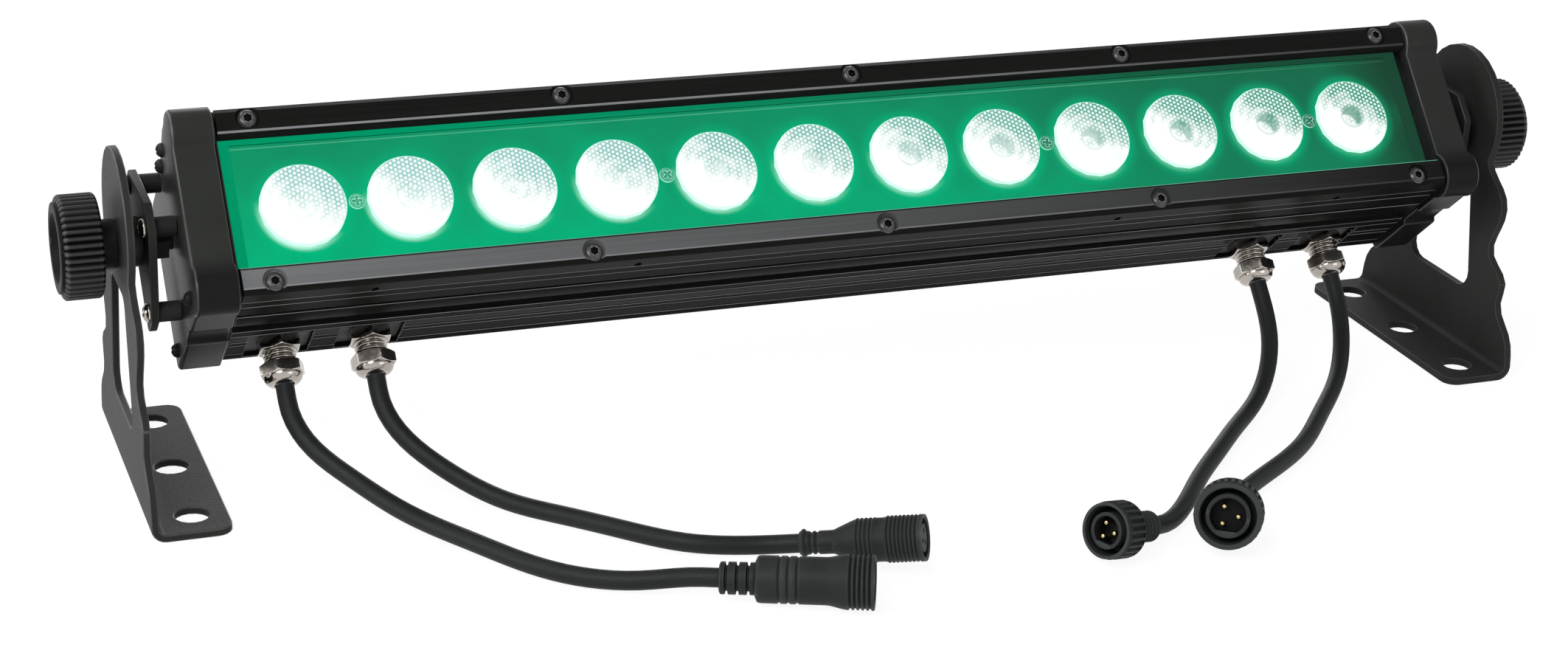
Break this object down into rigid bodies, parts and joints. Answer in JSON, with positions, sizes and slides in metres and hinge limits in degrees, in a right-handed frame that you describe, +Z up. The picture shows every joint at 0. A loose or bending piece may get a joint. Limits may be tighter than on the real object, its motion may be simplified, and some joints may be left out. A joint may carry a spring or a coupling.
{
  "type": "led strip batten",
  "caption": "Outdoor LED strip batten: lensed LEDs behind glass in a sealed aluminium bar that tilts between two bent steel feet on knobs, with power and data leads.",
  "frame": {"origin": "on the floor under the middle of the bar, midway between the feet and the front and rear of their bases", "axes": "+X along the bar towards the ends with the plugs' glands, -Y the side the light faces, +Z up"},
  "size_m": [0.615, 0.2426, 0.1418],
  "materials": {
    "black_anodised": "black anodised extrusion, satin, drawn lines along its length",
    "black_strip": "black anodised, brushed along its length",
    "black_cast": "die-cast, satin black paint",
    "black_powder_coat": "satin black powder coat on sheet steel",
    "nickel_plate": "nickel plate",
    "clear_glass": "clear toughened glass",
    "clear_acrylic": "clear acrylic with a fine pillowed front",
    "green_board": "solder-masked circuit board",
    "black_silicone": "matt seal",
    "black_nylon": "moulded, satin",
    "black_rubber": "matt cable sheath"
  },
  "bodies": {
    "batten": {"housing_profile": "black_anodised", "front_glass": "clear_glass", "glass_gasket": "black_silicone", "top_retaining_strip": "black_strip", "bottom_retaining_strip": "black_strip", "led_board": "green_board", "driver_board": "green_board", "lens_plate": "black_nylon", "lens_01": "clear_acrylic", "lens_02": "clear_acrylic", "lens_03": "clear_acrylic", "lens_04": "clear_acrylic", "lens_05": "clear_acrylic", "lens_06": "clear_acrylic", "lens_07": "clear_acrylic", "lens_08": "clear_acrylic", "lens_09": "clear_acrylic", "lens_10": "clear_acrylic", "lens_11": "clear_acrylic", "lens_12": "clear_acrylic", "left_cap_gasket": "black_silicone", "left_end_cap": "black_cast", "left_end_plate": "black_powder_coat", "left_standoff_front": "black_powder_coat", "left_standoff_upper": "black_powder_coat", "left_standoff_lower": "black_powder_coat", "left_pivot_nut": "nickel_plate", "left_friction_washer": "black_nylon", "right_cap_gasket": "black_silicone", "right_end_cap": "black_cast", "right_end_plate": "black_powder_coat", "right_standoff_front": "black_powder_coat", "right_standoff_upper": "black_powder_coat", "right_standoff_lower": "black_powder_coat", "right_pivot_nut": "nickel_plate", "right_friction_washer": "black_nylon", "power_out_gland_body": "nickel_plate", "power_out_gland_nut": "nickel_plate", "power_out_cable": "black_rubber", "power_out_socket": "black_nylon", "data_out_gland_body": "nickel_plate", "data_out_gland_nut": "nickel_plate", "data_out_cable": "black_rubber", "data_out_socket": "black_nylon", "data_in_gland_body": "nickel_plate", "data_in_gland_nut": "nickel_plate", "data_in_cable": "black_rubber", "data_in_plug": "black_nylon", "power_in_gland_body": "nickel_plate", "power_in_gland_nut": "nickel_plate", "power_in_cable": "black_rubber", "power_in_plug": "black_nylon"},
    "left_foot": {"left_foot": "black_powder_coat"},
    "left_knob": {"left_knob": "black_nylon", "left_pivot_stud": "nickel_plate"},
    "right_foot": {"right_foot": "black_powder_coat"},
    "right_knob": {"right_knob": "black_nylon", "right_pivot_stud": "nickel_plate"},
    "data_in_ring": {"data_in_ring": "black_nylon"},
    "power_in_ring": {"power_in_ring": "black_nylon"}
  },
  "joints": [
    {"name": "left_foot_tilt", "type": "hinge", "parent": "batten", "child": "left_foot", "pos_m": [-0.2845, 0, 0.0943], "axis": [1, 0, 0], "continuous": true},
    {"name": "right_foot_tilt", "type": "hinge", "parent": "batten", "child": "right_foot", "pos_m": [0.2845, 0, 0.0943], "axis": [1, 0, 0], "continuous": true},
    {"name": "left_knob_turn", "type": "hinge", "parent": "batten", "child": "left_knob", "pos_m": [-0.2969, 0, 0.0943], "axis": [-1, 0, 0], "range_deg": [0, 720]},
    {"name": "right_knob_turn", "type": "hinge", "parent": "batten", "child": "right_knob", "pos_m": [0.2969, 0, 0.0943], "axis": [1, 0, 0], "range_deg": [0, 720]},
    {"name": "data_in_ring_turn", "type": "hinge", "parent": "batten", "child": "data_in_ring", "pos_m": [0.04521, -0.164, 0.01194], "axis": [-0.8794, -0.4101, 0.2419], "continuous": true},
    {"name": "power_in_ring_turn", "type": "hinge", "parent": "batten", "child": "power_in_ring", "pos_m": [0.09055, -0.16584, 0.01361], "axis": [-0.5375, -0.7969, 0.2756], "continuous": true}
  ]
}
